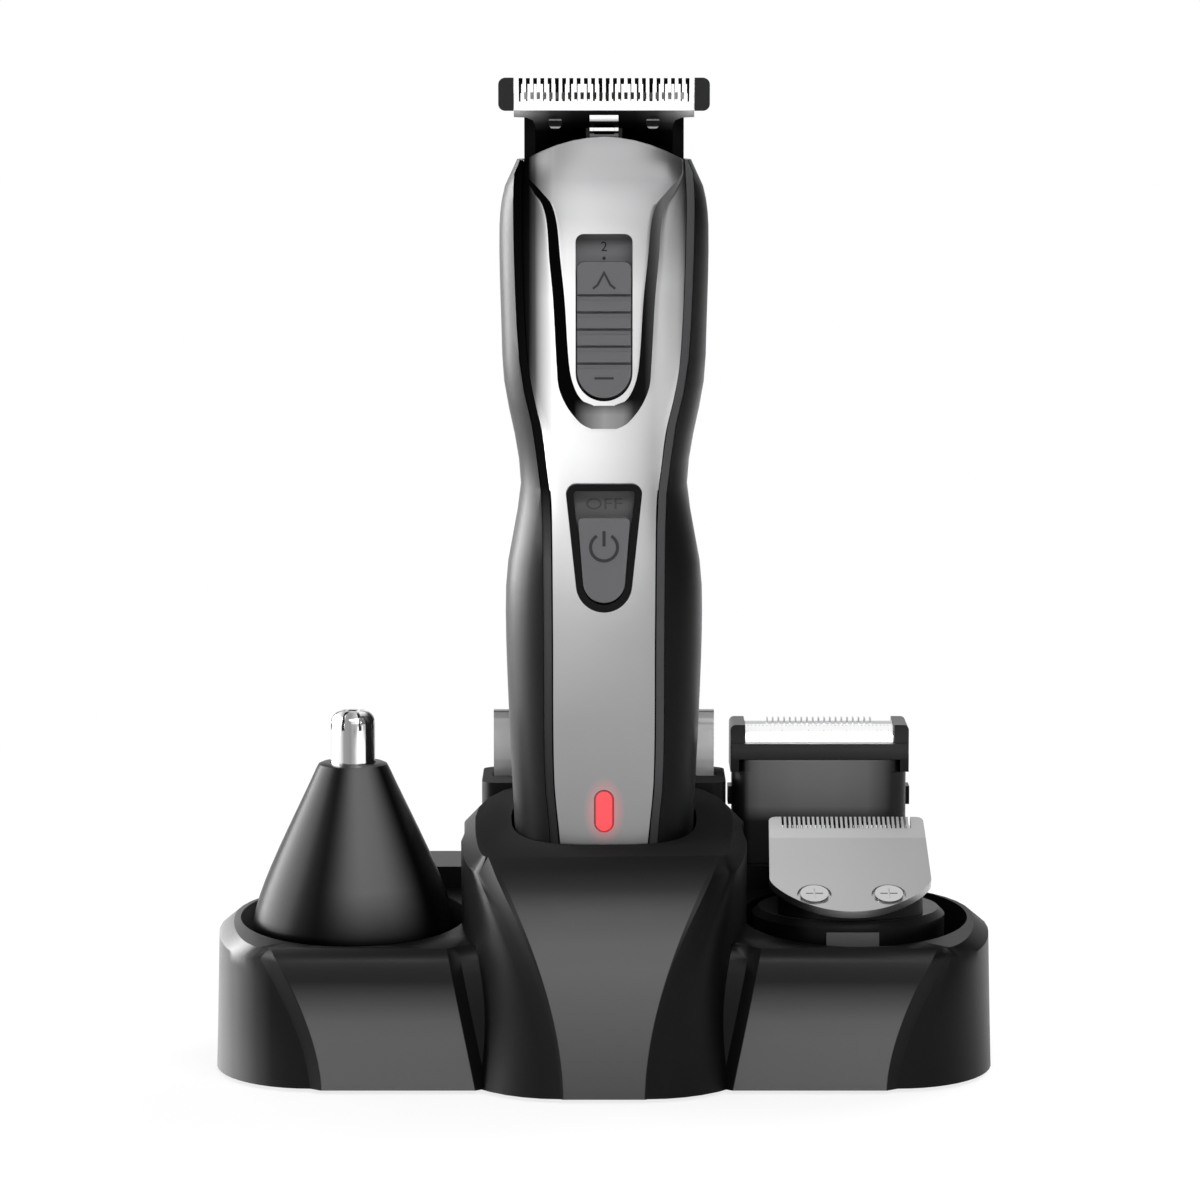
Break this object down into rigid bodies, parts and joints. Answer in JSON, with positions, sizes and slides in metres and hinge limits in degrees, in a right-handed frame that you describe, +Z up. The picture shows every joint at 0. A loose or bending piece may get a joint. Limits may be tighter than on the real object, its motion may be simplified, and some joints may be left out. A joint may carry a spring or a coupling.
{
  "type": "beard trimmer in charging stand",
  "caption": "Cordless beard trimmer with a T-blade, docked in a charging stand that holds a nose head, a wide-blade head, a foil head and a guide comb.",
  "frame": {"origin": "on the table, at the middle of the stand's footprint across its width and on the trimmer's axis", "axes": "+X to the right across the front, +Y to the back, -Y faces the user, +Z up along the trimmer"},
  "size_m": [0.15, 0.0725, 0.191],
  "materials": {
    "satin_black_plastic": "satin black",
    "gloss_black_plastic": "gloss black",
    "silver_plastic": "satin silver lacquer",
    "graphite_plastic": "matte graphite",
    "grey_plastic": "matte grey",
    "pale_plastic": "natural white nylon",
    "steel": "ground steel",
    "chrome": "polished",
    "brass": "gold plated",
    "board": "green circuit board",
    "cell_sleeve": "blue shrink sleeve",
    "red_lens": "clear red",
    "smoke_plastic": "translucent smoke",
    "rubber": "matte"
  },
  "bodies": {
    "stand": {"stand_shell": "satin_black_plastic", "stand_base": "satin_black_plastic", "stand_feet": "rubber", "stand_screws": "steel", "stand_board": "board", "dc_socket": "gloss_black_plastic", "dock_barrels": "brass"},
    "dock_pins": {"dock_plungers": "brass"},
    "trimmer": {"rear_shell": "satin_black_plastic", "front_cover": "silver_plastic", "side_bands": "graphite_plastic", "slot_plate": "grey_plastic", "switch_frame": "gloss_black_plastic", "light_lens": "red_lens", "battery": "cell_sleeve", "battery_tabs": "steel", "motor": "steel", "chassis": "satin_black_plastic", "main_board": "board", "switch_block": "pale_plastic", "charge_plates": "brass", "chassis_screws": "steel"},
    "power_switch": {"power_thumb": "grey_plastic"},
    "length_slider": {"length_thumb": "grey_plastic", "length_carriage": "pale_plastic"},
    "motor_drive": {"motor_shaft": "steel", "crank": "pale_plastic"},
    "t_head": {"head_body": "satin_black_plastic", "fixed_blade": "steel", "end_guards": "satin_black_plastic", "blade_screws": "steel", "blade_spring": "chrome", "lever_pin": "steel"},
    "t_lever": {"drive_lever": "pale_plastic"},
    "t_cutter": {"moving_blade": "steel", "blade_yoke": "pale_plastic"},
    "nose_head": {"nose_cone": "satin_black_plastic", "nose_base": "satin_black_plastic", "nose_guard": "chrome"},
    "nose_rotor": {"nose_cutter": "steel", "nose_shaft": "steel"},
    "wide_head": {"wide_body": "satin_black_plastic", "wide_blade": "steel", "wide_screws": "steel"},
    "wide_drive": {"wide_cutter": "steel", "wide_follower": "pale_plastic"},
    "foil_head": {"foil_body": "graphite_plastic", "foil_frame": "gloss_black_plastic", "foil_sheet": "chrome"},
    "foil_drive": {"foil_cutter": "steel"},
    "foil_left": {"foil_button_left": "satin_black_plastic"},
    "foil_right": {"foil_button_right": "satin_black_plastic"},
    "comb": {"guide_comb": "smoke_plastic"}
  },
  "joints": [
    {"name": "trimmer_lift", "type": "slide", "parent": "stand", "child": "trimmer", "axis": [0, 0, 1], "range_m": [0, 0.06]},
    {"name": "dock_pin_press", "type": "slide", "parent": "stand", "child": "dock_pins", "axis": [0, 0, 1], "range_m": [-0.001, 0], "stiffness_N_per_m": 300},
    {"name": "power_slide", "type": "slide", "parent": "trimmer", "child": "power_switch", "axis": [0, 0, 1], "range_m": [0, 0.0042]},
    {"name": "length_slide", "type": "slide", "parent": "trimmer", "child": "length_slider", "axis": [0, 0, 1], "range_m": [0, 0.005]},
    {"name": "motor_spin", "type": "hinge", "parent": "trimmer", "child": "motor_drive", "pos_m": [0, 0, 0.14], "axis": [0, 0, 1], "continuous": true},
    {"name": "head_pull", "type": "slide", "parent": "trimmer", "child": "t_head", "axis": [0, 0, 1], "range_m": [0, 0.025]},
    {"name": "lever_rock", "type": "hinge", "parent": "t_head", "child": "t_lever", "pos_m": [0, 0, 0.1715], "axis": [0, 1, 0], "range_deg": [-8.5, 8.5]},
    {"name": "blade_shuttle", "type": "slide", "parent": "t_head", "child": "t_cutter", "axis": [1, 0, 0], "range_m": [-0.00119, 0.00119]},
    {"name": "nose_lift", "type": "slide", "parent": "stand", "child": "nose_head", "axis": [0, 0, 1], "range_m": [0, 0.03]},
    {"name": "nose_spin", "type": "hinge", "parent": "nose_head", "child": "nose_rotor", "pos_m": [-0.0484, 0, 0.04], "axis": [0, 0, 1], "continuous": true},
    {"name": "wide_lift", "type": "slide", "parent": "stand", "child": "wide_head", "axis": [0, 0, 1], "range_m": [0, 0.03]},
    {"name": "wide_shuttle", "type": "slide", "parent": "wide_head", "child": "wide_drive", "axis": [1, 0, 0], "range_m": [-0.0012, 0.0012]},
    {"name": "foil_lift", "type": "slide", "parent": "stand", "child": "foil_head", "axis": [0, 0, 1], "range_m": [0, 0.025]},
    {"name": "foil_shuttle", "type": "slide", "parent": "foil_head", "child": "foil_drive", "axis": [1, 0, 0], "range_m": [-0.0012, 0.0012]},
    {"name": "foil_release_left", "type": "slide", "parent": "foil_head", "child": "foil_left", "axis": [1, 0, 0], "range_m": [0, 0.0008], "stiffness_N_per_m": 400},
    {"name": "foil_release_right", "type": "slide", "parent": "foil_head", "child": "foil_right", "axis": [-1, 0, 0], "range_m": [0, 0.0008], "stiffness_N_per_m": 400},
    {"name": "comb_lift", "type": "slide", "parent": "stand", "child": "comb", "axis": [0, 0, 1], "range_m": [0, 0.03]}
  ],
  "couplings": [
    {"joint": "lever_rock", "follows": "blade_shuttle", "rad_per_m": 125}
  ]
}
